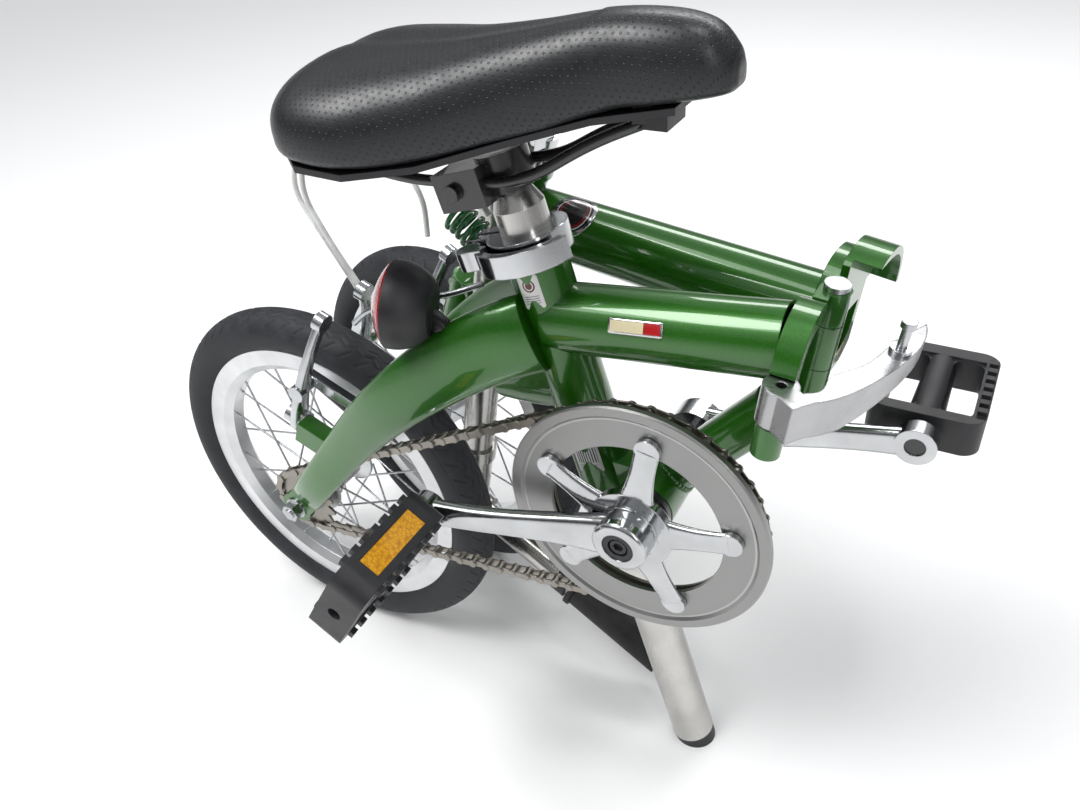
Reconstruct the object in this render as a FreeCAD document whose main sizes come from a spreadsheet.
import FreeCAD, Part
import math
import os

import Sketcher

from FreeCAD import Placement, Rotation
from FreeCAD import Vector as V

# Folding bicycle with 14 inch wheels, stored folded. Millimetres, degrees.
# X points to where the bicycle rides, Y to the rider's left, Z up.
# Lengths are measured from a datum on the floor straight under the crank axle. At the end
# every sub-part is moved so that the origin is the middle of the seat post's foot.
DIMENSIONS = {
    "axle_height": 168.0, "rear_axle_back": 321.35, "crank_height": 275.2,
    "tyre_radius": 168.0, "tyre_section": 18.5, "rim_edge": 135.5, "rim_seat": 131.0,
    "rim_inner": 114.0, "rim_half_width": 12.5, "spoke_radius": 0.95, "spoke_count": 28,
    "rear_dropout": 47.0, "front_dropout": 35.5, "axle_radius": 4.75,
    "seat_angle": 74.0, "seat_setback": 45.0, "seat_tube_radius": 20.5, "post_radius": 16.95,
    "post_bore": 17.03, "post_top_radius": 11.1, "seat_tube_top": 171.0, "seat_tube_bottom": -58.0,
    "post_shoulder": 196.0, "post_top": 232.0,
    "main_tube_radius": 23.5, "front_tube_radius": 24.5, "tube_wall": 2.2,
    "pin_x": 88.0, "pin_y": 40.0, "pin_z": 395.0, "pin_lean": 6.0, "pin_radius": 5.0,
    "fold_angle": 172.3, "plate_thickness": 15.0, "knuckle_radius": 9.5,
    "steer_angle": 100.0, "steer_rest": -4.0, "steer_gap": 0.15, "steerer_radius": 12.7,
    "head_radius": 20.0, "head_low": 208.0, "head_high": 302.0, "rake": 8.0, "post_fold_angle": 179.3,
    "pedal_arm": 152.0, "crank_turn": 189.0, "chainguard_radius": 92.3,
    "ring_teeth": 42, "sprocket_teeth": 14, "chain_pitch": 12.7, "chain_line": 39.5,
}

doc = FreeCAD.newDocument("FoldingBicycle")
sheet = doc.addObject("Spreadsheet::Sheet", "Dimensions")
for row, (alias, value) in enumerate(DIMENSIONS.items(), start=1):
    sheet.set(f"A{row}", alias)
    sheet.set(f"B{row}", str(value))
    sheet.setAlias(f"B{row}", alias)
doc.recompute()


class Size(float):
    """A length from the sheet that keeps the expression it came from."""

    def __new__(cls, value, text):
        made = float.__new__(cls, value)
        made.text = text
        return made

    def _join(self, other, sign, value):
        other_text = other.text if isinstance(other, Size) else repr(float(other))
        return Size(value, f"({self.text} {sign} {other_text})")

    def __add__(self, other):
        return self._join(other, "+", float(self) + float(other))

    def __sub__(self, other):
        return self._join(other, "-", float(self) - float(other))

    def __mul__(self, other):
        return self._join(other, "*", float(self) * float(other))

    def __truediv__(self, other):
        return self._join(other, "/", float(self) / float(other))

    def __neg__(self):
        return Size(-float(self), f"(0 - {self.text})")


def size(alias):
    return Size(float(sheet.get(alias)), f"Dimensions.{alias}")


AXLE_Z = size("axle_height")
CRANK_Z = size("crank_height")
REAR_AXLE = V(-size("rear_axle_back"), 0, AXLE_Z)
CRANK = V(0, 0, CRANK_Z)
ALONG_Y = V(0, 1, 0)
FOOT_X = 34.0

NODES = []


# ---------------------------------------------------------------- general helpers

def bind(thing, prop, value):
    """Set a property, as an expression when the value comes from the sheet."""
    if isinstance(value, Size):
        thing.setExpression(prop, value.text)
    else:
        setattr(thing, prop, value)


def facing(at, direction, side=None):
    """Placement at a point whose local Z runs along a direction (local X nearest to side)."""
    z = V(direction).normalize()
    x = V(side) if side else (V(1, 0, 0) if abs(z.x) < 0.9 else V(0, 1, 0))
    x = (x - z * x.dot(z)).normalize()
    return Placement(at, Rotation(x, z.cross(x), z, "ZXY"))


def turned_about(point, axis, angle):
    """The rigid turn by an angle about an axis through a point."""
    return Placement(V(0, 0, 0), Rotation(axis, angle), point)


def cylinder(radius, at, to, extra=0.0):
    """Part::Cylinder from one point to another, lengthened by extra at both ends."""
    run = to - at
    solid = doc.addObject("Part::Cylinder", "Cylinder")
    bind(solid, "Radius", radius)
    solid.Height = run.Length + 2 * extra
    solid.Placement = facing(at - V(run).normalize() * extra, run)
    return solid


def cone(radius_from, radius_to, at, to):
    run = to - at
    solid = doc.addObject("Part::Cone", "Cone")
    bind(solid, "Radius1", radius_from)
    bind(solid, "Radius2", radius_to)
    solid.Height = run.Length
    solid.Placement = facing(at, run)
    return solid


def box(length, width, height, placement):
    """Part::Box centred on the placement's origin."""
    solid = doc.addObject("Part::Box", "Box")
    solid.Length, solid.Width, solid.Height = length, width, height
    solid.Placement = placement * Placement(V(-length / 2, -width / 2, -height / 2), Rotation())
    return solid


def fuse(*shapes):
    joined = doc.addObject("Part::MultiFuse", "Fuse")
    joined.Shapes = list(shapes)
    joined.Refine = True
    return joined


def cut(base, *tools):
    for tool in tools:
        result = doc.addObject("Part::Cut", "Cut")
        result.Base, result.Tool = base, tool
        base = result
    return base


def group(*shapes):
    """Several separate solids that share one node."""
    together = doc.addObject("Part::Compound", "Group")
    together.Links = list(shapes)
    return together


def feature(shape):
    """A solid that only code can make: a loft or a sweep."""
    thing = doc.addObject("Part::Feature", "Shaped")
    thing.Shape = shape
    return thing


def tube(outer, inner, at, to):
    return cut(cylinder(outer, at, to), cylinder(inner, at, to, 1.0))


def node(label, solid, place=None):
    """Register a finished sub-part under its name."""
    doc.recompute()
    solid.Label = label
    NODES.append((solid, place or Placement()))
    return solid


def oval(centre, u, v, half_u, half_v, power=2.0):
    """Closed smooth curve round a centre: an ellipse, or squarer with a higher power."""
    points = []
    for step in range(16):
        turn = math.radians(360 / 16 * step)
        cos, sin = math.cos(turn), math.sin(turn)
        along_u = math.copysign(abs(cos) ** (2 / power), cos) * half_u
        along_v = math.copysign(abs(sin) ** (2 / power), sin) * half_v
        points.append(centre + V(u) * along_u + V(v) * along_v)
    curve = Part.BSplineCurve()
    curve.interpolate(points, PeriodicFlag=True)
    return Part.Wire([curve.toShape()])


def arm_loft(points, halves, side=ALONG_Y, power=2.4):
    """Solid loft along points; halves are (half across `side`, half the other way) pairs."""
    wires = []
    for i, (point, (half_side, half_tall)) in enumerate(zip(points, halves)):
        before = points[max(i - 1, 0)]
        after = points[min(i + 1, len(points) - 1)]
        run = (after - before).normalize()
        across = (V(side) - run * run.dot(side)).normalize()
        wires.append(oval(point, across, run.cross(across), half_side, half_tall, power))
    return Part.makeLoft(wires, True, False)


def rounded_path(points):
    """Wire of straight runs and tangent arcs, each as large as its two runs allow."""
    edges = []
    start = points[0]
    radii = []
    for i in range(1, len(points) - 1):
        back = (points[i - 1] - points[i])
        ahead = (points[i + 1] - points[i])
        shorter = min(back.Length, ahead.Length)
        half_turn = (math.pi - back.getAngle(ahead)) / 2
        reach = 0.45 * shorter
        radii.append(reach / math.tan(half_turn))
        back.normalize()
        ahead.normalize()
        first = points[i] + back * reach
        last = points[i] + ahead * reach
        bisector = (back + ahead).normalize()
        centre = points[i] + bisector * (radii[-1] / math.cos(half_turn))
        middle = centre - bisector * radii[-1]
        edges.append(Part.LineSegment(start, first).toShape())
        edges.append(Part.Arc(first, middle, last).toShape())
        start = last
    edges.append(Part.LineSegment(start, points[-1]).toShape())
    return Part.Wire(edges), radii


def cord_tube(label, points, radius):
    """Round tube along a rounded path. Prints its bends and compares its volume."""
    path, radii = rounded_path(points)
    run = (points[1] - points[0]).normalize()
    circle = Part.Wire([Part.Circle(points[0], run, radius).toShape()])
    solid = path.makePipeShell([circle], True, False)
    expected = math.pi * radius ** 2 * path.Length
    print(f"{label}: length {path.Length:.1f}, volume / section x length "
          f"{solid.Volume / expected:.4f}, smallest radius {min(radii):.1f} "
          f"= {min(radii) / (2 * radius):.1f} diameters")
    return solid


def sketched_body(name, outline, plane="XZ_Plane"):
    """PartDesign body with a closed outline whose corners are bound to the sheet."""
    body = doc.addObject("PartDesign::Body", name + "_body")
    sketch = body.newObject("Sketcher::SketchObject", name + "_outline")
    base = [f for f in body.Origin.OriginFeatures if f.Role == plane][0]
    sketch.AttachmentSupport = [(base, "")]
    sketch.MapMode = "FlatFace"
    count = len(outline)
    for i, (x, y) in enumerate(outline):
        x2, y2 = outline[(i + 1) % count]
        sketch.addGeometry(Part.LineSegment(V(float(x), float(y), 0), V(float(x2), float(y2), 0)))
    for i in range(count):
        sketch.addConstraint(Sketcher.Constraint("Coincident", i, 2, (i + 1) % count, 1))
    for i, corner in enumerate(outline):
        for kind, value, axis in zip(("DistanceX", "DistanceY"), corner, (-2, -1)):
            if abs(float(value)) < 1e-9:
                sketch.addConstraint(Sketcher.Constraint("PointOnObject", i, 1, axis))
                continue
            index = sketch.addConstraint(
                Sketcher.Constraint(kind, -1, 1, i, 1, float(value)))
            if isinstance(value, Size):
                sketch.setExpression(f"Constraints[{index}]", value.text)
    return body, sketch


def revolved(name, outline, at, axis=ALONG_Y):
    """Body turned about an axis; the outline is (radius, distance along the axis)."""
    body, sketch = sketched_body(name, outline)
    turn = body.newObject("PartDesign::Revolution", name + "_turn")
    turn.Profile = sketch
    turn.ReferenceAxis = (sketch, ["V_Axis"])
    turn.Angle = 360.0
    body.Placement = facing(at, axis)
    doc.recompute()
    return body


def seat_point(along, side=0.0):
    """A point of the seat axis, `along` millimetres above the crank's height."""
    return SEAT_BASE + SEAT_DIR * along + ALONG_Y * side


def steer_point(up, forward=0.0, left=0.0):
    """A point given along the steering axis (from the front axle), ahead of it and aside."""
    return STEER_BASE + STEER_DIR * up + STEER_AHEAD * forward + ALONG_Y * left


def pin_point(ahead, left, up):
    """A point given from the middle of the frame hinge's mating face."""
    return HINGE + PLATE_OUT * ahead + ALONG_Y * left + PIN_DIR * up


# ---------------------------------------------------------------- the main lines

def heading(angle):
    """Unit vector in the bicycle's middle plane, at an angle above the X axis."""
    return V(math.cos(math.radians(angle)), 0, math.sin(math.radians(angle)))


SEAT_DIR = heading(180 - size("seat_angle"))
SEAT_BASE = V(-size("seat_setback"), 0, CRANK_Z)
PIN_DIR = heading(90 - size("pin_lean"))
PLATE_OUT = heading(-size("pin_lean"))
PIN = V(size("pin_x"), size("pin_y"), size("pin_z"))
HINGE = V(size("pin_x"), 0, size("pin_z"))
FOLD = turned_about(PIN, PIN_DIR, size("fold_angle"))

# The folded front axle's place settles where the front half lies when it rides.
FOLDED_FRONT_AXLE = V(-278, 126, AXLE_Z)
FRONT_AXLE = FOLD.inverse().multVec(FOLDED_FRONT_AXLE)
FRONT_AXLE.y = 0
STEER_DIR = heading(size("steer_angle"))
STEER_AHEAD = heading(size("steer_angle") - 90)
STEER_BASE = FRONT_AXLE - STEER_AHEAD * size("rake")
STEER = FOLD * turned_about(STEER_BASE, STEER_DIR, size("steer_rest"))

POST_PIVOT = steer_point(336, 0, 19)
POST_PIVOT_DIR = heading(4.2)
POST_SWING = turned_about(POST_PIVOT, POST_PIVOT_DIR, -size("post_fold_angle"))
POST_FOLD = STEER * POST_SWING


FORE = V(SEAT_DIR.z, 0, -SEAT_DIR.x)
COLLAR_BOLT = seat_point(size("seat_tube_top") + 1) - FORE * 35
POST_LOW = -(CRANK_Z - 6.5) / SEAT_DIR.z

# Local frames of the two rim brakes: Z away from the axle, X ahead, Y to the left, and the
# origin between the two pivots.
BRAKE_REACH = 96.0
REAR_BRAKE = facing(REAR_AXLE + heading(68) * BRAKE_REACH, heading(68), heading(-22))
FRONT_BRAKE = facing(steer_point(BRAKE_REACH, size("rake")), STEER_DIR, STEER_AHEAD)

# ---------------------------------------------------------------- rear frame

def seat_tube():
    radius = size("seat_tube_radius")
    low, high = seat_point(size("seat_tube_bottom")), seat_point(size("seat_tube_top"))
    shell = cylinder(21.0, CRANK - ALONG_Y * 34, CRANK + ALONG_Y * 34)
    web = box(46, 26, 28, Placement(V(-24, 0, CRANK_Z - 1), Rotation()))
    yoke = feature(arm_loft(
        [seat_point(96), V(-98, 0, 352), V(-128, 0, 338)],
        [(17, 50), (18, 38), (16, 24)], power=3.0))
    slot = box(44, 3, 44, facing(high - SEAT_DIR * 10 - PLATE_OUT * 20, SEAT_DIR, ALONG_Y))
    slot.Placement = facing(high - SEAT_DIR * 8 + V(-20, 0, 0), SEAT_DIR, V(1, 0, 0))
    body = fuse(cylinder(radius, low, high), shell, web, yoke)
    node("seat_tube", cut(
        body, cylinder(size("post_bore"), low, high, 5),
        cylinder(17.6, CRANK - ALONG_Y * 35, CRANK + ALONG_Y * 35), slot))


def plate_side():
    """The space in front of the rear hinge plate's back face."""
    return box(40, 120, 160, facing(
        pin_point(20 - size("plate_thickness"), 0, 0), PIN_DIR, PLATE_OUT))


def rear_main_tube():
    start = seat_point(118)
    end = pin_point(2 - size("plate_thickness"), 0, 10)
    outer = cylinder(size("main_tube_radius"), start, end)
    inner = cylinder(size("main_tube_radius") - size("tube_wall"), start, end, 1.0)
    node("rear_main_tube", cut(
        outer, inner, cylinder(size("seat_tube_radius"), seat_point(60), seat_point(180)),
        plate_side()))


def rear_brace_tube():
    start, end = CRANK + V(4, 0, 4), pin_point(3 - size("plate_thickness"), 0, -38)
    outer = cylinder(15.5, start, end)
    node("rear_brace_tube", cut(
        outer, cylinder(13.5, start, end, 1.0),
        cylinder(21.0, CRANK - ALONG_Y * 30, CRANK + ALONG_Y * 30), plate_side()))


def plate_outline(near, far, low, high, power=2.5):
    """Rounded outline of a hinge plate, as a wire in the mating plane."""
    middle = (near + far) / 2
    half = abs(far - near) / 2
    return oval(pin_point(0, middle, (low + high) / 2), ALONG_Y, PIN_DIR, half, (high - low) / 2, power)


def hinge_plate(ahead):
    """A hinge plate's casting; ahead is +1 for the front half and -1 for the rear half."""
    wire = plate_outline(-31, 33, -57, 34)
    thickness = size("plate_thickness")
    solid = Part.Face(wire).extrude(PLATE_OUT * (ahead * thickness))
    pocket = Part.Face(plate_outline(-19, 19, -42, 20)).extrude(PLATE_OUT * (ahead * 7))
    return solid.cut(pocket)


def knuckle(low, high, ahead):
    """Hinge knuckle round the pin, with a web to the plate."""
    radius = size("knuckle_radius")
    low_point = pin_point(0, PIN.y, low)
    barrel = Part.makeCylinder(radius, high - low, low_point, PIN_DIR)
    web = Part.makeBox(9, PIN.y - 24, high - low)
    web.Placement = facing(pin_point(ahead * 5.5, 24, low), PIN_DIR, PLATE_OUT) * Placement(
        V(-4.5, 0, 0), Rotation())
    return barrel.fuse(web)


def knuckle_room(low, high):
    return Part.makeCylinder(
        size("knuckle_radius") + 0.5, high - low, pin_point(0, PIN.y, low), PIN_DIR)


PIN_HOLE = 0.04
REAR_KNUCKLES = ((-50, -26), (6, 28))
FRONT_KNUCKLE = (-25.5, 5.5)
LEVER_PIVOT_UP = -37.0
LEVER_AHEAD, LEVER_LEFT = -6.0, -35.0


def rear_hinge_plate():
    solid = hinge_plate(-1)
    solid = solid.cut(knuckle_room(FRONT_KNUCKLE[0] - 0.5, FRONT_KNUCKLE[1] + 0.5))
    for low, high in REAR_KNUCKLES:
        solid = solid.fuse(knuckle(low, high, -1))
    lug = Part.makeCylinder(9, 22, pin_point(LEVER_AHEAD, LEVER_LEFT, LEVER_PIVOT_UP - 8), PIN_DIR)
    web = Part.makeBox(12, 14, 22)
    web.Placement = facing(pin_point(LEVER_AHEAD, LEVER_LEFT, LEVER_PIVOT_UP - 8), PIN_DIR, PLATE_OUT) * Placement(
        V(-6, 0, 0), Rotation())
    solid = solid.fuse(lug).fuse(web)
    solid = solid.cut(Part.makeCylinder(3.05, 90, pin_point(LEVER_AHEAD, LEVER_LEFT, -50), PIN_DIR))
    solid = solid.cut(Part.makeCylinder(
        size("pin_radius"), 140, pin_point(0, PIN.y, -70), PIN_DIR))
    lever_room = Part.makeCylinder(11.2, 26.4, pin_point(LEVER_AHEAD, LEVER_LEFT, LEVER_PIVOT_UP + 15.8), PIN_DIR)
    node("rear_hinge_plate", feature(solid.cut(lever_room).removeSplitter()))


def hinge_pin():
    shank = cylinder(size("pin_radius"), pin_point(0, PIN.y, -52), pin_point(0, PIN.y, 30))
    head = cylinder(8.0, pin_point(0, PIN.y, 28.2), pin_point(0, PIN.y, 32))
    node("hinge_pin", fuse(shank, head))


def stay_points(side):
    """Centreline of one curved rear arm; the right one bows out round the chain."""
    bow = 8.5 if side < 0 else 0.0
    return [V(-84, side * 20, 385), V(-112, side * 31, 374), V(-150, side * (40 + bow / 3), 350),
            V(-190, side * (43 + bow), 317), V(-228, side * (44.5 + bow), 278),
            V(-262, side * (45.5 + bow), 238), V(-290, side * (46.5 + bow), 204),
            V(-306, side * (48 + bow / 2), 185)]


def rear_stays():
    halves = [(14, 28), (14, 27), (12, 25), (10.5, 22), (8, 19), (6.2, 16.5), (5.5, 15), (4.5, 14)]
    arms = []
    for side in (-1, 1):
        arm = arm_loft(stay_points(side), halves, power=2.2)
        inner = size("rear_dropout")
        end = V(REAR_AXLE.x, side * inner, AXLE_Z)
        plate = Part.makeCylinder(15, 6, end, ALONG_Y * side)
        neck = Part.makeBox(34, 6, 26)
        neck.Placement = Placement(
            end + ALONG_Y * (0 if side > 0 else -6), Rotation(ALONG_Y, -48)) * Placement(
            V(0, 0, -13), Rotation())
        arm = arm.fuse(plate).fuse(neck)
        tab_length, tab_width = (39, 15) if side < 0 else (43, 7)
        tab = Part.makeBox(tab_length, tab_width, 20)
        tab.Placement = Placement(
            REAR_BRAKE.multVec(V(-9.8, 38 if side > 0 else -38 - tab_width, -10)), REAR_BRAKE.Rotation)
        arm = arm.fuse(tab)
        arm = arm.cut(Part.makeCylinder(
            size("axle_radius"), 200, REAR_AXLE - ALONG_Y * 100, ALONG_Y))
        arm = arm.cut(Part.makeCylinder(
            size("seat_tube_radius"), 300, seat_point(-60), SEAT_DIR))
        arms.append(arm)
    yoke_room = Part.makeCompound([s.Shape for s, _ in NODES if s.Label == "seat_tube"])
    tyre_room = Part.makeCylinder(
        size("tyre_radius") + 6, 48, REAR_AXLE - ALONG_Y * 24, ALONG_Y)
    solids = []
    for arm in arms:
        solids.append(feature(arm.cut(yoke_room).cut(tyre_room).removeSplitter()))
    node("rear_stays", group(*solids))


# ---------------------------------------------------------------- seat

def seat_collar():
    low, high = seat_point(size("seat_tube_top") - 7), seat_point(size("seat_tube_top") + 9)
    ring = cylinder(27.0, low, high)
    ears = box(20, 19, 16, facing((low + high) / 2 - FORE * 32, SEAT_DIR, FORE))
    gap = box(40, 4, 20, facing((low + high) / 2 - FORE * 36, SEAT_DIR, FORE))
    bolt_way = cylinder(3.05, COLLAR_BOLT - ALONG_Y * 20, COLLAR_BOLT + ALONG_Y * 20)
    stop = cylinder(size("seat_tube_radius") + 0.1, low - SEAT_DIR, seat_point(size("seat_tube_top")))
    node("seat_collar", cut(
        fuse(ring, ears), cylinder(size("post_bore"), low, high, 2), stop, gap, bolt_way))


def seat_collar_bolt():
    shank = cylinder(3.0, COLLAR_BOLT - ALONG_Y * 10.2, COLLAR_BOLT + ALONG_Y * 15)
    nut = cylinder(6.5, COLLAR_BOLT + ALONG_Y * 9.7, COLLAR_BOLT + ALONG_Y * 16)
    node("seat_collar_bolt", fuse(shank, nut))


def seat_collar_lever():
    """Cam lever that lies round the right side of the collar."""
    middle = seat_point(size("seat_tube_top") - 1)
    across = facing(middle - SEAT_DIR * 8, SEAT_DIR, FORE)
    band = Part.makeCylinder(36.5, 15).cut(Part.makeCylinder(30.5, 15))
    wedge = Part.makeBox(100, 39, 15, V(-50, -50, 0))
    band = band.common(wedge)
    band.Placement = across
    cam = Part.makeCylinder(8.5, 13, COLLAR_BOLT - ALONG_Y * 19 - SEAT_DIR * 6.5, SEAT_DIR)
    link = Part.makeBox(16, 8, 13)
    link.Placement = facing(
        COLLAR_BOLT - ALONG_Y * 18 - SEAT_DIR * 6.5, SEAT_DIR, FORE) * Placement(
        V(-2, -8, 0), Rotation())
    lever = band.fuse(cam).fuse(link)
    node("seat_collar_lever", feature(lever.removeSplitter()))


def seatpost():
    body = cylinder(size("post_radius"), seat_point(POST_LOW), seat_point(size("post_shoulder")))
    shoulder = cone(size("post_radius"), size("post_top_radius"),
                    seat_point(size("post_shoulder")), seat_point(size("post_shoulder") + 12))
    top = cylinder(size("post_top_radius"), seat_point(size("post_shoulder") + 12),
                   seat_point(size("post_top")))
    bore = cylinder(14.6, seat_point(POST_LOW - 2), seat_point(size("post_shoulder") - 20))
    node("seatpost", cut(fuse(body, shoulder, top), bore))


def seatpost_foot():
    """Plug in the post's lower end; its sole is cut level with the floor."""
    plug = cylinder(14.5, seat_point(POST_LOW - 12), seat_point(POST_LOW + 22))
    flange = cylinder(16.6, seat_point(POST_LOW - 12), seat_point(POST_LOW))
    floor = box(120, 120, 60, Placement(V(FOOT_X, 0, -30), Rotation()))
    node("seatpost_foot", cut(fuse(plug, flange), floor))


def saddle_clamp():
    sleeve = cylinder(17.0, seat_point(208.3), seat_point(232))
    sleeve_bore = cylinder(size("post_top_radius") + 0.05, seat_point(200), seat_point(240))
    carrier = box(34, 58, 24, facing(seat_point(218) - FORE * 18, SEAT_DIR, FORE))
    bolt = cylinder(5.5, seat_point(218, -33) - FORE * 22, seat_point(218, 33) - FORE * 22)
    held = [feature(s.Shape) for s, _ in NODES if s.Label in ("saddle_rails", "seatpost")]
    node("saddle_clamp", cut(fuse(sleeve, carrier, bolt), sleeve_bore, *held))


RAIL_POINTS = [V(-6, 9, 529), V(-40, 12, 514), V(-84, 22, 487), V(-160, 22, 480),
               V(-192, 32, 489), V(-216, 36, 500)]


def saddle_rails():
    rods = []
    for side in (-1, 1):
        points = [V(p.x, side * p.y, p.z) for p in RAIL_POINTS]
        rods.append(feature(cord_tube("saddle rail", points, 3.5)))
    node("saddle_rails", group(*rods))


# Stations along the saddle: x, half width, underside height, top height.
SADDLE = [(38, 9, 545, 560), (30, 18, 543, 573), (10, 23, 540, 582), (-35, 29, 532, 581),
          (-80, 44, 520, 572), (-125, 70, 509, 564), (-165, 86, 505, 560),
          (-199, 86, 506, 557), (-223, 68, 512, 547), (-235, 40, 520, 538)]


def saddle_section(x, half, low, high):
    """Flat underside with a domed top, as one closed wire."""
    left, right = V(x, half, low + 4), V(x, -half, low + 4)
    under = Part.Arc(left, V(x, 0, low), right).toShape()
    top = Part.Arc(right, V(x, 0, high), left).toShape()
    return Part.Wire([under, top])


def saddle_cover():
    wires = [saddle_section(*station) for station in SADDLE]
    node("saddle_cover", feature(Part.makeLoft(wires, True, True)))


def saddle_base():
    """Moulded plate under the padding, with the sockets that hold the rails."""
    wires = [Part.makePolygon([V(x, half - 5, low - 0.5), V(x, 5 - half, low - 0.5),
                               V(x, 5 - half, low - 4.5), V(x, half - 5, low - 4.5),
                               V(x, half - 5, low - 0.5)])
             for x, half, low, _ in SADDLE[2:-1]]
    plate = Part.makeLoft(wires, True, True)
    nose = Part.makeBox(20, 26, 13, V(-16, -13, 524.5))
    tail = Part.makeBox(16, 88, 14, V(-220, -44, 494))
    solid = plate.fuse(nose).fuse(tail)
    solid = solid.cut(Part.makeCompound([s.Shape for s, _ in NODES if s.Label == "saddle_rails"]))
    room = [s.Shape for s, _ in NODES if s.Label == "saddle_cover"][0]
    node("saddle_base", feature(solid.cut(room).removeSplitter()))


# ---------------------------------------------------------------- wheels

def tyre(label, axle, place):
    middle = size("tyre_radius") - size("tyre_section")
    ring = doc.addObject("Part::Torus", "Torus")
    bind(ring, "Radius1", middle)
    bind(ring, "Radius2", size("tyre_section"))
    ring.Placement = facing(axle, ALONG_Y)
    hub_side = cylinder(size("rim_edge") + 0.2, axle - ALONG_Y * 25, axle + ALONG_Y * 25)
    node(label, cut(ring, hub_side), place)


def rim(label, axle, place):
    edge, seat, inner = size("rim_edge"), size("rim_seat"), size("rim_inner")
    half = size("rim_half_width")
    outline = [(edge, -half), (edge, -half + 2.5), (seat, -half + 3.5), (seat, half - 3.5),
               (edge, half - 2.5), (edge, half), (seat - 10, half), (inner, half - 6),
               (inner, -half + 6), (seat - 10, -half)]
    node(label, revolved(label, outline, axle), place)


def spokes(label, axle, place, flange_radius, flange_half):
    """Tangential spokes; each set leans the other way and sits on its own side of the flange."""
    count = int(size("spoke_count"))
    rods = []
    reach = size("rim_inner") - 0.3
    for i in range(count):
        side = 1 if i % 2 else -1
        lean = 1 if (i // 2) % 2 else -1
        rim_turn = math.radians(360 / count * (i + 0.5))
        hub_turn = rim_turn + lean * math.radians(55)
        y = side * (flange_half + 1.8 * lean)
        hub_end = axle + V(math.cos(hub_turn) * flange_radius, y, math.sin(hub_turn) * flange_radius)
        rim_end = axle + V(math.cos(rim_turn) * reach, side * 3, math.sin(rim_turn) * reach)
        rods.append(cylinder(size("spoke_radius"), hub_end, rim_end))
    node(label, group(*rods), place)


def hub(label, axle, place, flange_radius, flange_half):
    bore = size("axle_radius") + 0.06
    outer = flange_half + 1.4
    inner = flange_half - 1.4
    outline = [(bore, -outer - 6), (9, -outer - 6), (11, -outer), (flange_radius + 4, -outer),
               (flange_radius + 4, -inner), (15, -inner + 4), (15, inner - 4),
               (flange_radius + 4, inner), (flange_radius + 4, outer), (11, outer),
               (9, outer + 6), (bore, outer + 6)]
    node(label, revolved(label, outline, axle), place)


def axle_set(label, axle, place, dropout, plate):
    """Axle rod with a washer and a nut outside each dropout, and a cone inside it."""
    half = dropout + plate + 11
    solids = [cylinder(size("axle_radius") - 0.05, axle - ALONG_Y * half, axle + ALONG_Y * half)]
    for side in (-1, 1):
        face = axle + ALONG_Y * side * (dropout + plate + 0.05)
        nut = doc.addObject("Part::Prism", "Nut")
        nut.Polygon, nut.Circumradius, nut.Height = 6, 8.7, 8
        nut.Placement = facing(face + ALONG_Y * side * 1.6, ALONG_Y * side)
        washer = cylinder(10, face, face + ALONG_Y * side * 1.6)
        cone_nut = cylinder(7.5, axle + ALONG_Y * side * (dropout - 6),
                            axle + ALONG_Y * side * (dropout - 0.05))
        solids += [nut, washer, cone_nut]
    node(label, fuse(*solids), place)


# ---------------------------------------------------------------- drive

def sprocket_outline(teeth, thickness_side):
    """Closed wire of a roller-chain wheel, in the XZ plane round the origin."""
    pitch_radius = size("chain_pitch") / (2 * math.sin(math.pi / teeth))
    seat, tip = pitch_radius - 4.1, pitch_radius + 3.4
    points = []
    for tooth in range(teeth):
        for share, radius in ((0.0, seat), (0.22, pitch_radius), (0.42, tip), (0.58, tip),
                              (0.78, pitch_radius)):
            turn = 2 * math.pi * (tooth + share) / teeth
            points.append(V(radius * math.cos(turn), thickness_side, radius * math.sin(turn)))
    return Part.makePolygon(points + points[:1])


def toothed_plate(teeth, centre, y, thickness, hole, turn=0.0):
    face = Part.Face(sprocket_outline(teeth, 0))
    solid = face.extrude(V(0, thickness, 0))
    solid = solid.cut(Part.makeCylinder(hole, thickness + 2, V(0, -1, 0), ALONG_Y))
    solid.Placement = Placement(V(centre.x, y, centre.z), Rotation(ALONG_Y, turn))
    return solid


def chain_line_angle():
    """Angle of the upper chain run above the X axis, and the wheels' pitch radii."""
    ring = size("chain_pitch") / (2 * math.sin(math.pi / size("ring_teeth")))
    cog = size("chain_pitch") / (2 * math.sin(math.pi / size("sprocket_teeth")))
    run = CRANK - REAR_AXLE
    slope = math.atan2(run.z, run.x)
    return slope, math.asin((ring - cog) / run.Length), ring, cog


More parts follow.
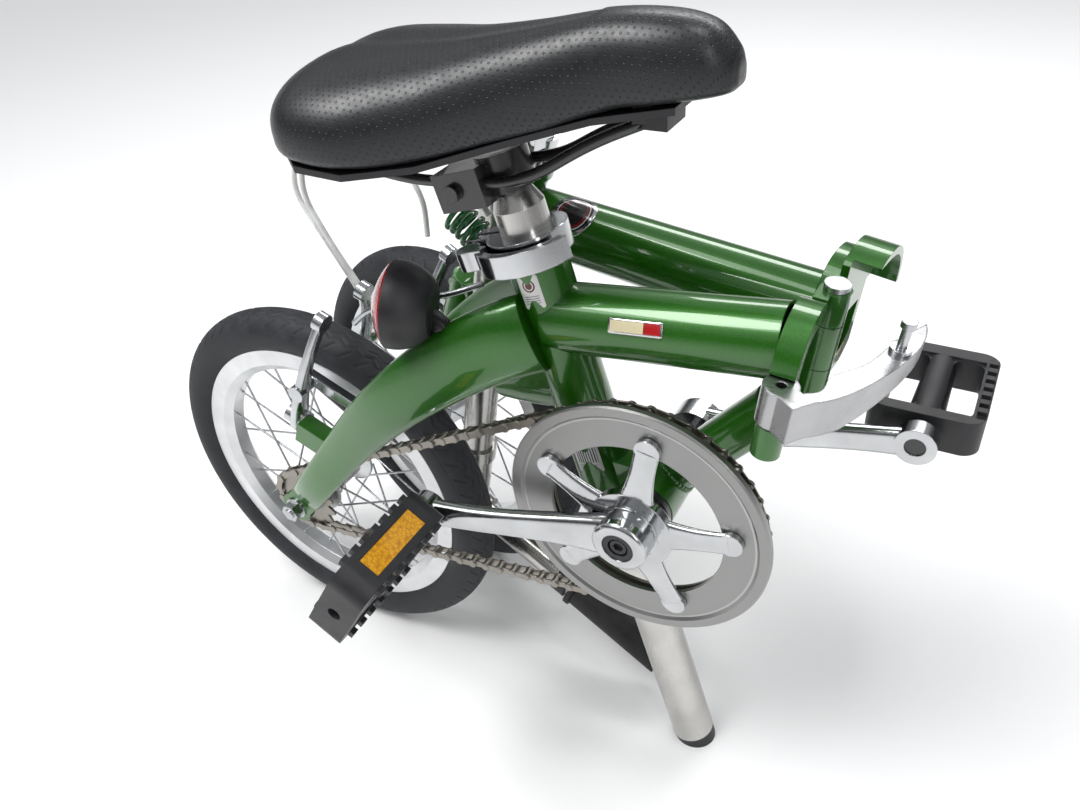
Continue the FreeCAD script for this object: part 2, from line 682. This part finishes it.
def chain_path():
    """Pin centres of the closed chain, and whether each pin lies on a straight run."""
    slope, open_angle, ring, cog = chain_line_angle()
    run = (CRANK - REAR_AXLE).Length
    straight = run * math.cos(open_angle)
    over_ring = ring * (math.pi + 2 * open_angle)
    over_cog = cog * (math.pi - 2 * open_angle)
    total = 2 * straight + over_ring + over_cog
    links = 2 * round(total / size("chain_pitch") / 2)
    step = total / links
    pins = []
    for i in range(links):
        at = i * step
        if at < straight:
            turn = slope + math.pi / 2 + open_angle
            base = REAR_AXLE + V(math.cos(turn), 0, math.sin(turn)) * cog
            pins.append((base + heading(math.degrees(slope + open_angle)) * at, True))
            continue
        at -= straight
        if at < over_ring:
            turn = slope + math.pi / 2 + open_angle - at / ring
            pins.append((CRANK + V(math.cos(turn), 0, math.sin(turn)) * ring, False))
            continue
        at -= over_ring
        if at < straight:
            turn = slope - math.pi / 2 - open_angle
            base = CRANK + V(math.cos(turn), 0, math.sin(turn)) * ring
            pins.append((base - heading(math.degrees(slope - open_angle)) * at, True))
            continue
        at -= straight
        turn = slope - math.pi / 2 - open_angle - at / cog
        pins.append((REAR_AXLE + V(math.cos(turn), 0, math.sin(turn)) * cog, False))
    return pins


def chain():
    """Two rows of side plates, tied by rollers on the straight runs only."""
    pins = chain_path()
    line = -size("chain_line")
    solids = []
    for row in (-1, 1):
        plates = []
        for i, (pin, _) in enumerate(pins):
            after = pins[(i + 1) % len(pins)][0]
            run = after - pin
            offset = 2.6 if i % 2 else 3.6
            y = line + row * offset
            plate = Part.makeBox(run.Length, 1.02, 5.4, V(0, -0.51, -2.7))
            ends = [Part.makeCylinder(3.6, 1.02, V(x, -0.51, 0), ALONG_Y) for x in (0, run.Length)]
            turn = -math.degrees(math.atan2(run.z, run.x))
            plate = plate.fuse(ends)
            plate.Placement = Placement(V(pin.x, y, pin.z), Rotation(ALONG_Y, turn))
            plates.append(plate)
        solids.append(plates[0].multiFuse(plates[1:]))
    rollers = []
    for i, (pin, _) in enumerate(pins):
        near = [pins[(i + step) % len(pins)][1] for step in range(-4, 5)]
        if all(near):
            rollers.append(Part.makeCylinder(3.2, 9.4, V(pin.x, line - 4.7, pin.z), ALONG_Y))
    joined = solids[0].multiFuse([solids[1]] + rollers)
    node("chain", feature(joined))


def chainring():
    y = -size("chain_line") - 1.1
    teeth = int(size("ring_teeth"))
    solid = toothed_plate(teeth, CRANK, y, 2.2, 64.0, 360 / teeth / 2)
    node("chainring", feature(solid))


def chainguard():
    radius = size("chainguard_radius")
    outline = [(61.5, -49.6), (radius - 9, -49.6), (radius - 7, -51.3), (radius - 1.2, -51.3),
               (radius, -50.2), (radius, -46.6), (61.5, -46.6)]
    node("chainguard", revolved("chainguard", outline, V(0, 0, CRANK_Z)))


def rear_sprocket():
    teeth = int(size("sprocket_teeth"))
    plate = toothed_plate(teeth, REAR_AXLE, -size("chain_line") - 1.1, 2.2, 9.5)
    body = Part.makeCylinder(19.5, 9, REAR_AXLE - ALONG_Y * (size("chain_line") - 1.1), ALONG_Y)
    body = body.cut(Part.makeCylinder(15.1, 9, REAR_AXLE - ALONG_Y * (size("chain_line") - 4), ALONG_Y))
    body = body.cut(Part.makeCylinder(9.5, 12, REAR_AXLE - ALONG_Y * 42, ALONG_Y))
    node("rear_sprocket", feature(plate.fuse(body)))


def crank_arm(side, turn):
    """Forged arm from the spindle boss to the pedal's eye; side is -1 on the right."""
    reach = size("pedal_arm")
    out = ALONG_Y * side
    along = heading(turn)
    points = [CRANK + out * 65, CRANK + out * 66.5 + along * 34, CRANK + out * 72 + along * 80,
              CRANK + out * 76 + along * 120, CRANK + out * 77 + along * reach]
    halves = [(8.5, 18), (6.5, 13.5), (5.8, 10.5), (5.8, 10), (6.2, 11)]
    arm = arm_loft(points, halves, power=3.0)
    boss = Part.makeCylinder(19, 22, CRANK + out * 54, out)
    boss = boss.makeFillet(4, [e for e in boss.Edges if e.Curve.TypeId == "Part::GeomCircle"][:1])
    eye = Part.makeCylinder(14, 13, CRANK + along * reach + out * 71, out)
    return arm.fuse(boss).fuse(eye).fuse(Part.makeCylinder(19, 20, CRANK + out * 54, out))


def drill_crank(solid, side, turn):
    out = ALONG_Y * side
    eye = CRANK + heading(turn) * size("pedal_arm")
    solid = solid.cut(Part.makeCylinder(7.05, 30, eye + out * 66, out))
    solid = solid.cut(Part.makeCylinder(8.05, 40, CRANK + out * 50, out))
    return solid.cut(Part.makeCylinder(11.05, 6, CRANK + out * 70, out))


def crank_right():
    arm = crank_arm(-1, size("crank_turn"))
    spider_turn = size("crank_turn") + 36
    hub_disc = Part.makeCylinder(30, 7, CRANK - ALONG_Y * 58, ALONG_Y)
    arm = arm.fuse(hub_disc)
    for i in range(5):
        along = heading(spider_turn + 72 * i)
        leg = arm_loft([CRANK - ALONG_Y * 54.5 + along * 20, CRANK - ALONG_Y * 54 + along * 42,
                        CRANK - ALONG_Y * 52.4 + along * 66],
                       [(4, 13), (3.2, 9), (2.2, 8.5)], power=3.0)
        tab = Part.makeCylinder(8.5, 4.2, CRANK - ALONG_Y * 54.2 + along * 67, ALONG_Y)
        arm = arm.fuse(leg).fuse(tab)
    guard = Part.makeCylinder(93, 10, CRANK - ALONG_Y * 49.6, ALONG_Y)
    arm = arm.cut(guard)
    node("crank_right", feature(drill_crank(arm, -1, size("crank_turn")).removeSplitter()))


def crank_left():
    turn = size("crank_turn") - 180
    solid = drill_crank(crank_arm(1, turn), 1, turn)
    node("crank_left", feature(solid.removeSplitter()))


def bottom_bracket_axle():
    node("bottom_bracket_axle", cylinder(8.0, CRANK - ALONG_Y * 69, CRANK + ALONG_Y * 69))


def bottom_bracket_cups():
    cups = []
    for side in (-1, 1):
        out = ALONG_Y * side
        body = cylinder(17.5, CRANK + out * 14, CRANK + out * 34)
        lip = cylinder(20.5, CRANK + out * 34.05, CRANK + out * 39)
        neck = cylinder(17.5, CRANK + out * 33, CRANK + out * 36)
        cups.append(cut(fuse(body, lip, neck), cylinder(8.06, CRANK, CRANK + out * 50)))
    node("bottom_bracket_cups", group(*cups))


def crank_bolts():
    """Dust cap and hexagon bolt on each end of the spindle."""
    caps = []
    for side in (-1, 1):
        out = ALONG_Y * side
        cap = cylinder(11.0, CRANK + out * 70.1, CRANK + out * 75.2)
        recess = cylinder(7.0, CRANK + out * 72.6, CRANK + out * 77)
        head = cylinder(5.8, CRANK + out * 71, CRANK + out * 74.6)
        socket = doc.addObject("Part::Prism", "Socket")
        socket.Polygon, socket.Circumradius, socket.Height = 6, 3.6, 6
        socket.Placement = facing(CRANK + out * 72, out)
        caps.append(cut(fuse(cut(cap, recess), head), socket))
    node("crank_bolts", group(*caps))


# ---------------------------------------------------------------- pedals

def pedal_place(side, turn):
    """Frame at the crank's eye: Z out along the pedal axle, X along the pedal's length."""
    crank_turn = size("crank_turn") + (0 if side < 0 else 180)
    eye = CRANK + heading(crank_turn) * size("pedal_arm") + ALONG_Y * side * 84
    return facing(eye, ALONG_Y * side, heading(turn))


def pedal_axles():
    rods = []
    for side in (-1, 1):
        place = pedal_place(side, 0)
        out = ALONG_Y * side
        eye = place.Base
        rods.append(fuse(cylinder(7.0, eye - out * 12, eye + out * 2),
                         cylinder(8.5, eye + out * 0.1, eye + out * 5),
                         cylinder(4.5, eye, eye + out * 96)))
    node("pedal_axles", group(*rods))


PEDAL_LONG, PEDAL_WIDE, PEDAL_THICK = 76.0, 92.0, 27.0
PEDAL_GAP = 8.0


def pedal(label, side, turn):
    """Moulded cage pedal with four windows round a tapered barrel, and toothed edges."""
    cage = Part.makeBox(PEDAL_LONG, PEDAL_THICK, PEDAL_WIDE,
                        V(-PEDAL_LONG / 2, -PEDAL_THICK / 2, PEDAL_GAP))
    upright = [e for e in cage.Edges if abs(e.tangentAt(0).y) > 0.9]
    cage = cage.makeFillet(13, upright)
    barrel = Part.makeCone(12.5, 10.5, PEDAL_WIDE - 4, V(0, 0, PEDAL_GAP), V(0, 0, 1))
    windows = []
    half = PEDAL_LONG / 2
    for x_side in (-1, 1):
        window = Part.makeBox(half - 17, 60, PEDAL_WIDE - 22,
                              V(8 if x_side > 0 else -half + 9, -30, PEDAL_GAP + 10))
        upright = [e for e in window.Edges if abs(e.tangentAt(0).y) > 0.9]
        windows.append(window.makeFillet(8, upright))
        windows.append(Part.makeBox(9, 15.4, 52.4, V(
            half - 3.2 if x_side > 0 else -half - 5.8, -7.7, PEDAL_GAP + PEDAL_WIDE / 2 - 26.2)))
    solid = cage.cut(windows[0]).cut(windows[2]).fuse(barrel)
    for strip in (-1, 1):
        hollow = Part.makeBox(PEDAL_LONG - 18, 7, PEDAL_WIDE - 22,
                              V(9 - half, strip * 11 - 3.5 + strip * 3.5, PEDAL_GAP + 10))
        solid = solid.cut(hollow.cut(Part.makeCylinder(13.5, 200, V(0, 0, -20), V(0, 0, 1))))
    teeth = []
    for face in (-1, 1):
        for x in (-half + 4, half - 4):
            for step in range(7):
                z = PEDAL_GAP + 15 + step * (PEDAL_WIDE - 30) / 6
                teeth.append(Part.makeBox(6, 3.4, 5, V(x - 3, face * 15.2 - 1.7, z - 2.5)))
    solid = solid.cut(windows[1]).cut(windows[3]).multiFuse(teeth)
    solid = solid.cut(Part.makeCylinder(4.56, 100, V(0, 0, 0), V(0, 0, 1)))
    solid = solid.cut(Part.makeCylinder(4.9, 12, V(0, 0, 92), V(0, 0, 1)))
    solid.Placement = pedal_place(side, turn)
    node(label, feature(solid))
    plates = []
    for x_side in (-1, 1):
        plate = Part.makeBox(2.6, 15, 52, V(half - 3 if x_side > 0 else -half + 0.4, -7.5,
                                            PEDAL_GAP + PEDAL_WIDE / 2 - 26))
        plate.Placement = pedal_place(side, turn)
        plates.append(feature(plate))
    node(label.replace("pedal", "pedal_reflectors"), group(*plates))


# ---------------------------------------------------------------- hinge lever

LATCH_PIN_OUT = 84.0


def lever_place():
    """Pivot of the clamp lever, with local X along the opened lever."""
    pivot = facing(pin_point(LEVER_AHEAD, LEVER_LEFT, LEVER_PIVOT_UP + 16), PIN_DIR, heading(0))
    return pivot * Placement(V(0, 0, 0), Rotation(V(0, 0, 1), 55))


def hinge_lever():
    """Long clamp lever on the rear plate's right edge, swung open across the joint."""
    outline = [V(-2, -17, 0), V(16, -22, 0), V(48, -20, 0), V(84, -11, 0), V(110, 2, 0),
               V(120, 12, 0), V(107, 10, 0), V(83, 4, 0), V(50, -5, 0), V(27, -7, 0),
               V(20, -12, 0), V(7, -11, 0)]
    curve = Part.BSplineCurve()
    curve.interpolate(outline[:6])
    back = Part.BSplineCurve()
    back.interpolate([outline[5]] + outline[6:])
    closing = Part.LineSegment(outline[-1], outline[0])
    wire = Part.Wire([curve.toShape(), back.toShape(), closing.toShape()])
    bar = Part.Face(wire).extrude(V(0, 0, 25))
    wedge = Part.makeBox(300, 200, 60, V(0, -100, -60))
    wedge.Placement = Placement(V(28, 0, 0), Rotation(ALONG_Y, -9))
    bar = bar.cut(wedge)
    eye = Part.makeCylinder(10.5, 25)
    neck = Part.makeBox(14, 14, 25, V(-8, -20, 0))
    lever = bar.fuse(neck).fuse(eye)
    lever = lever.cut(Part.makeCylinder(3.1, 60, V(0, 0, -10), V(0, 0, 1)))
    lever = lever.cut(Part.makeCylinder(3.05, 60, V(LATCH_PIN_OUT, -3, -10), V(0, 0, 1)))
    lever.Placement = lever_place()
    node("hinge_lever", feature(lever.removeSplitter()))


def hinge_latch_pin():
    """Headed pin that stands up near the lever's tip."""
    tip = lever_place().multVec(V(LATCH_PIN_OUT, -3, 20))
    pin = fuse(cylinder(3.0, tip, tip + PIN_DIR * 24),
               cylinder(6.5, tip + PIN_DIR * 5.1, tip + PIN_DIR * 8),
               cylinder(4.6, tip + PIN_DIR * 22, tip + PIN_DIR * 26))
    node("hinge_latch_pin", pin)


# ---------------------------------------------------------------- front half

def front_frame():
    """Front tube, hinge casting with its hood, and head tube: one weldment."""
    plate = hinge_plate(1)
    for low, high in REAR_KNUCKLES:
        plate = plate.cut(knuckle_room(low - 0.5, high + 0.5))
    plate = plate.fuse(knuckle(*FRONT_KNUCKLE, 1))
    rim_face = Part.Face(plate_outline(-37, 37, -64, 42, 2.3))
    outer = rim_face.extrude(PLATE_OUT * -17).fuse(rim_face.extrude(PLATE_OUT * 5))
    inner = Part.Face(plate_outline(-33, 60, -80, 37, 3.2)).extrude(PLATE_OUT * -40)
    upper = Part.makeBox(80, 66, 60, V(-40, 0, 0))
    upper.Placement = facing(pin_point(0, -44, -8), PIN_DIR, PLATE_OUT)
    behind = Part.makeBox(60, 200, 200, V(-60, -100, -100))
    behind.Placement = facing(HINGE, PIN_DIR, PLATE_OUT)
    hood = outer.cut(inner.common(behind)).common(upper)
    plate = plate.fuse(hood)
    lever_low = pin_point(LEVER_AHEAD, LEVER_LEFT, LEVER_PIVOT_UP - 9)
    plate = plate.cut(Part.makeCylinder(11.6, 51, lever_low, PIN_DIR))
    start = pin_point(size("plate_thickness"), 0, -13)
    end = steer_point(252)
    radius = size("front_tube_radius")
    run = (end - start).normalize()
    outer_tube = Part.makeCylinder(radius, (end - start).Length, start, run)
    inner_tube = Part.makeCylinder(radius - size("tube_wall"), (end - start).Length, start, run)
    low, high = size("head_low"), size("head_high")
    head = Part.makeCylinder(size("head_radius"), high - low, steer_point(low), STEER_DIR)
    lips = [Part.makeCylinder(size("head_radius") + 2.5, 7, steer_point(up), STEER_DIR)
            for up in (low, high - 7)]
    bore = Part.makeCylinder(size("steerer_radius") + 0.08, high - low + 4,
                             steer_point(low - 2), STEER_DIR)
    solid = plate.fuse(outer_tube.cut(inner_tube)).fuse(head).fuse(lips)
    solid = solid.cut(Part.makeCylinder(
        size("pin_radius") + PIN_HOLE, 140, pin_point(0, PIN.y, -70), PIN_DIR))
    node("front_frame", feature(solid.cut(bore).removeSplitter()), FOLD)


def fork():
    """Steerer, crown and two straight blades with flat dropouts: one weldment."""
    steerer = Part.makeCylinder(size("steerer_radius"), 123, steer_point(198), STEER_DIR)
    seat = Part.makeCylinder(17, 8, steer_point(199.5), STEER_DIR)
    crown = arm_loft([steer_point(191, 0, -46), steer_point(196, 0, -24), steer_point(197),
                      steer_point(196, 0, 24), steer_point(191, 0, 46)],
                     [(11, 9), (15, 10), (17, 11), (15, 10), (11, 9)], side=STEER_AHEAD)
    solid = steerer.fuse(seat).fuse(crown)
    half = size("front_dropout")
    for side in (-1, 1):
        foot = steer_point(16, size("rake") - 1, side * (half + 3))
        blade = arm_loft([steer_point(200, 0, side * 37), steer_point(140, 1, side * 38.5),
                          steer_point(70, 4, side * 38.5), foot],
                         [(11, 13), (10, 13), (8, 11), (5, 8)], power=2.0)
        drop = Part.makeCylinder(12, 5, FRONT_AXLE + ALONG_Y * side * half, ALONG_Y * side)
        neck = Part.makeBox(16, 5, 26, V(-8, 0 if side > 0 else -5, 0))
        neck.Placement = facing(FRONT_AXLE + ALONG_Y * side * half, STEER_DIR, STEER_AHEAD)
        tab = Part.makeBox(12, 7, 18, V(3.8, side * 38.5 - 3.5, -9))
        tab.Placement = FRONT_BRAKE
        solid = solid.fuse(blade).fuse(drop).fuse(neck).fuse(tab)
    solid = solid.cut(Part.makeCylinder(
        size("axle_radius"), 200, FRONT_AXLE - ALONG_Y * 100, ALONG_Y))
    node("fork", feature(solid.removeSplitter()), STEER)


# ---------------------------------------------------------------- rim brakes

PAD_GAP = 20.4


def brake_arm(label, frame, offset, side, place):
    """One linear-pull arm: pivot barrel, arm, shoe and the cable's end at the top."""
    at = frame.multVec
    ahead = math.copysign(1, offset)
    x = offset + ahead * 8
    y = side * 38.5
    barrel = Part.makeCylinder(8, 18, at(V(offset, y, 0)),
                               frame.Rotation.multVec(V(ahead, 0, 0)))
    across = frame.Rotation.multVec(V(1, 0, 0))
    arm = arm_loft([at(V(x, y, -6)), at(V(x, y + side * 2, 24)), at(V(x, y - side * 1, 60)),
                    at(V(x, y - side * 13, 98))],
                   [(5, 9), (4.5, 8), (4, 6), (4, 6)], side=across, power=2.6)
    top = Part.makeCylinder(8, 8, at(V(x - 4, y - side * 13, 98)), across)
    stud = Part.makeCylinder(4.5, 22, at(V(x, y + side * 8, 34)),
                             frame.Rotation.multVec(V(0, -side, 0)))
    nut = Part.makeCylinder(7, 7, at(V(x, y + side * 10, 34)),
                            frame.Rotation.multVec(V(0, -side, 0)))
    shoe = Part.makeBox(52, 7, 10, V(-26 + ahead * 6, side * PAD_GAP - (0 if side > 0 else 7), 29))
    shoe.Placement = frame
    bridge = Part.makeBox(abs(x) + 4, 8, 9, V(min(0, x), side * 24 - 4, 29.5))
    bridge.Placement = frame
    solid = barrel.fuse([arm, top, stud, nut, shoe, bridge])
    node(label, feature(solid.removeSplitter()), place)


# ---------------------------------------------------------------- handlebar

POST_LENGTH = 350.0
BAR_RADIUS, BAR_HALF, GRIP_LENGTH = 11.1, 225.0, 98.0
BAR_CENTRE = steer_point(352 + POST_LENGTH + 7)
BAR_DIR_FOLDED = V(0.922, -0.152, -0.355).normalize()
BAR_DIR = POST_FOLD.inverse().Rotation.multVec(BAR_DIR_FOLDED)
LEVER_TURN = -90.0
LEVER_SEAT = BAR_HALF - GRIP_LENGTH - 10


def post_foot(extra):
    """The lump that joins the post's tube to its hinge knuckle."""
    halves = [(8 + extra, 6 + extra), (11 + extra, 10 + extra), (14 + extra, 14 + extra)]
    return arm_loft([POST_PIVOT + STEER_DIR * 8, steer_point(356, 0, 10), steer_point(366)],
                    halves, side=STEER_AHEAD)


def handlepost_base():
    """Clamp on the steerer's top, with the ears of the post's hinge."""
    ring = Part.makeCylinder(19, 26, steer_point(303), STEER_DIR)
    bore = Part.makeCylinder(size("steerer_radius") + 0.02, 40, steer_point(300), STEER_DIR)
    shoulder = arm_loft([steer_point(322, 0, -6), steer_point(330, 0, 10)],
                        [(17, 9), (15, 8)], side=STEER_AHEAD)
    ears = []
    for side in (-1, 1):
        start = POST_PIVOT + POST_PIVOT_DIR * side * 9
        ears.append(Part.makeCylinder(9, 7, start, POST_PIVOT_DIR * side))
        web = Part.makeBox(7, 22, 18, V(0 if side > 0 else -7, -20, -14))
        web.Placement = facing(start, heading(90 + 3.5), POST_PIVOT_DIR)
        ears.append(web)
    room = Part.makeCylinder(13.5, 18, POST_PIVOT - POST_PIVOT_DIR * 9, POST_PIVOT_DIR)
    post_room = Part.makeCylinder(15.0, 70, POST_SWING.multVec(steer_point(340)),
                                  POST_SWING.Rotation.multVec(STEER_DIR))
    solid = ring.fuse(shoulder).fuse(ears).cut(bore).cut(room).cut(post_room)
    for opened in range(0, 79, 13):
        foot_room = post_foot(0.8)
        angle = opened - size("post_fold_angle")
        foot_room.Placement = turned_about(POST_PIVOT, POST_PIVOT_DIR, angle)
        solid = solid.cut(foot_room)
    solid = solid.cut(Part.makeCylinder(4.0, 60, POST_PIVOT - POST_PIVOT_DIR * 30, POST_PIVOT_DIR))
    pin = Part.makeCylinder(4.0, 34, POST_PIVOT - POST_PIVOT_DIR * 17, POST_PIVOT_DIR)
    node("handlepost_base", feature(solid.fuse(pin).removeSplitter()), STEER)


def handlepost():
    """Tube with its hinge knuckle at the foot and the stem that holds the bar at the top."""
    barrel = Part.makeCylinder(11.5, 17, POST_PIVOT - POST_PIVOT_DIR * 8.5, POST_PIVOT_DIR)
    base = steer_point(352)
    foot = post_foot(0)
    post = Part.makeCylinder(14.3, POST_LENGTH, base, STEER_DIR)
    collar = Part.makeCylinder(17, 14, steer_point(352 + POST_LENGTH - 70), STEER_DIR)
    clamp = Part.makeCylinder(16, 34, BAR_CENTRE - BAR_DIR * 17, BAR_DIR)
    solid = post.fuse([barrel, foot, collar, clamp])
    solid = solid.cut(Part.makeCylinder(4.05, 60, POST_PIVOT - POST_PIVOT_DIR * 30, POST_PIVOT_DIR))
    solid = solid.cut(Part.makeCylinder(BAR_RADIUS, 80, BAR_CENTRE - BAR_DIR * 40, BAR_DIR))
    node("handlepost", feature(solid.removeSplitter()), POST_FOLD)


def bar_point(along, out=0.0, turn=0.0):
    """A point along the handlebar, out from it at an angle round it."""
    side = STEER_DIR.cross(BAR_DIR).normalize()
    up = BAR_DIR.cross(side)
    angle = math.radians(turn)
    return (BAR_CENTRE + BAR_DIR * along
            + (side * math.cos(angle) + up * math.sin(angle)) * out)


def handlebar():
    bar = tube(BAR_RADIUS, 9.3, bar_point(-BAR_HALF), bar_point(BAR_HALF))
    node("handlebar", bar, POST_FOLD)


def grips():
    sleeves = []
    for side in (-1, 1):
        inner, outer = bar_point(side * (BAR_HALF - GRIP_LENGTH)), bar_point(side * (BAR_HALF + 3))
        grip = fuse(cylinder(15.5, inner, outer),
                    cylinder(18.0, inner, bar_point(side * (BAR_HALF - GRIP_LENGTH + 5))))
        sleeves.append(cut(grip, cylinder(BAR_RADIUS + 0.02, inner - (outer - inner) * 0.1,
                                          bar_point(side * (BAR_HALF + 0.05)))))
    node("grips", group(*sleeves), POST_FOLD)


def brake_lever_mounts():
    mounts = []
    for side in (-1, 1):
        along = BAR_DIR * side
        seat = bar_point(side * LEVER_SEAT)
        out = (bar_point(0, 1, LEVER_TURN) - bar_point(0)).normalize()
        clamp = Part.makeCylinder(15, 14, seat - along * 7, along)
        arm = Part.makeCylinder(7, 30, seat + out * 4, out)
        barrel = Part.makeCylinder(5, 24, seat + out * 26, along * -1)
        bore = Part.makeCylinder(BAR_RADIUS + 0.02, 40, seat - along * 20, along)
        mounts.append(feature(clamp.fuse([arm, barrel]).cut(bore)))
    node("brake_lever_mounts", group(*mounts), POST_FOLD)


def brake_lever(label, side):
    """Curved blade that swings towards the grip from its pivot on the mount."""
    pivot = bar_point(side * (LEVER_SEAT + 15), 36, LEVER_TURN)
    across = bar_point(0, 1, LEVER_TURN + 90) - bar_point(0)
    blade = arm_loft([bar_point(side * (LEVER_SEAT + 15), 38, LEVER_TURN),
                      bar_point(side * (LEVER_SEAT + 34), 44, LEVER_TURN),
                      bar_point(side * (LEVER_SEAT + 66), 42, LEVER_TURN),
                      bar_point(side * (LEVER_SEAT + 104), 45, LEVER_TURN)],
                     [(6, 5), (7, 4), (7, 3.5), (6, 4)], side=across)
    hub_part = Part.makeCylinder(6.5, 12, pivot - across * 6, across)
    solid = blade.fuse(hub_part)
    node(label, feature(solid.removeSplitter()), POST_FOLD)


# ---------------------------------------------------------------- cables, lock and lamp

FRONT_CABLE = [V(-300, 64, 316), V(-330, 62, 372), V(-352, 60, 414), V(-340, 64, 452),
               V(-300, 74, 466), V(-262, 88, 446), V(-244, 92, 408), V(-246, 92, 376)]
REAR_CABLE = [V(-290, 58, 322), V(-318, 54, 376), V(-336, 52, 420), V(-318, 54, 462),
              V(-272, 58, 482), V(-224, 62, 476), V(-182, 60, 452), V(-158, 54, 424)]
NOODLE = [V(-232, -26, 362), V(-214, -26, 378), V(-190, -16, 384), V(-160, -2, 388),
          V(-138, 8, 396)]
LAMP_OUT = V(-0.86, -0.30, 0.12).normalize()
LAMP_BACK = V(-172, -44, 400)


def cables():
    for label, points in (("front_brake_cable", FRONT_CABLE), ("rear_brake_cable", REAR_CABLE),
                          ("rear_brake_noodle", NOODLE)):
        radius = 2.3 if label != "rear_brake_noodle" else 2.2
        node(label, feature(cord_tube(label, points, radius)))


def lock_coil():
    start, end = V(-168, 26, 438), V(-128, 22, 406)
    node("cable_lock_coil", cylinder(13.0, start, end))


def tail_lamp():
    """Round rear lamp on a bracket over the right arm; its lens faces back."""
    face = facing(LAMP_BACK, LAMP_OUT)
    bowl = Part.makeSphere(30, V(0, 0, 0)).common(Part.makeBox(80, 80, 40, V(-40, -40, -40)))
    bowl = bowl.common(Part.makeBox(80, 80, 24, V(-40, -40, -24)))
    bowl.Placement = face
    rimmed = Part.makeCylinder(30, 4, LAMP_BACK, LAMP_OUT)
    stem = arm_loft([LAMP_BACK - LAMP_OUT * 12 + V(4, 4, -10), V(-143, -36, 383), V(-140, -36, 372)],
                    [(6, 8), (6, 7), (7, 9)], power=3.0)
    room = Part.makeCompound([s.Shape for s, _ in NODES if s.Label in ("rear_stays", "seat_tube")])
    node("tail_lamp", feature(bowl.fuse(rimmed).fuse(stem).cut(room).removeSplitter()))
    lens = Part.makeSphere(44, LAMP_BACK + LAMP_OUT * (4.05 - 32)).common(
        Part.makeCylinder(28.5, 30, LAMP_BACK + LAMP_OUT * 4.05, LAMP_OUT))
    node("tail_lamp_lens", feature(lens))


# ---------------------------------------------------------------- build and write

def build():
    seat_tube()
    rear_main_tube()
    rear_brace_tube()
    rear_hinge_plate()
    hinge_pin()
    rear_stays()
    seat_collar()
    seat_collar_bolt()
    seat_collar_lever()
    seatpost()
    seatpost_foot()
    saddle_rails()
    saddle_clamp()
    saddle_cover()
    saddle_base()
    for name, axle, place, flange in (("rear", REAR_AXLE, Placement(), 23),
                                      ("front", FRONT_AXLE, STEER, 22)):
        tyre(f"{name}_tyre", axle, place)
        rim(f"{name}_rim", axle, place)
        spokes(f"{name}_spokes", axle, place, 24.3, flange)
        hub(f"{name}_hub", axle, place, 20, flange)
        drop = size(f"{name}_dropout")
        axle_set(f"{name}_axle", axle, place, drop, 6 if name == "rear" else 5)
    chain()
    chainring()
    chainguard()
    rear_sprocket()
    crank_right()
    crank_left()
    bottom_bracket_axle()
    bottom_bracket_cups()
    crank_bolts()
    pedal_axles()
    pedal("pedal_right", -1, 58)
    pedal("pedal_left", 1, 0)
    hinge_lever()
    hinge_latch_pin()
    front_frame()
    fork()
    for side, word in ((-1, "right"), (1, "left")):
        brake_arm(f"rear_brake_arm_{word}", REAR_BRAKE, -10, side, Placement())
        brake_arm(f"front_brake_arm_{word}", FRONT_BRAKE, 16, side, STEER)
    handlepost_base()
    handlepost()
    handlebar()
    grips()
    brake_lever_mounts()
    brake_lever("brake_lever_left", -1)
    brake_lever("brake_lever_right", 1)
    cables()
    lock_coil()
    tail_lamp()


def settle():
    """Put every sub-part where the folded bicycle holds it, with the foot at the origin."""
    to_foot = Placement(V(-FOOT_X, 0, 0), Rotation())
    for solid, place in NODES:
        solid.Placement = to_foot * place * solid.Placement
    doc.recompute()


def write():
    for thing in doc.Objects:
        bad = [word for word in thing.State if word in ("Invalid", "Error")]
        if bad:
            raise RuntimeError(f"{thing.Name} ({thing.Label}) is {bad}")
    os.makedirs("parts", exist_ok=True)
    for solid, _ in NODES:
        shape = solid.Shape
        if shape.isNull() or not shape.isValid() or not shape.Solids:
            raise RuntimeError(f"{solid.Label} has no sound shape")
        shape.exportStep(f"parts/{solid.Label}.step")
        box_of = shape.optimalBoundingBox(False, False)
        print(f"{solid.Label:24s} solids {len(shape.Solids):3d} volume {shape.Volume:10.0f} "
              f"x {box_of.XMin:7.1f} {box_of.XMax:7.1f} y {box_of.YMin:7.1f} {box_of.YMax:7.1f} "
              f"z {box_of.ZMin:7.1f} {box_of.ZMax:7.1f}")
    print(len(NODES), "sub-parts")


build()
settle()
write()
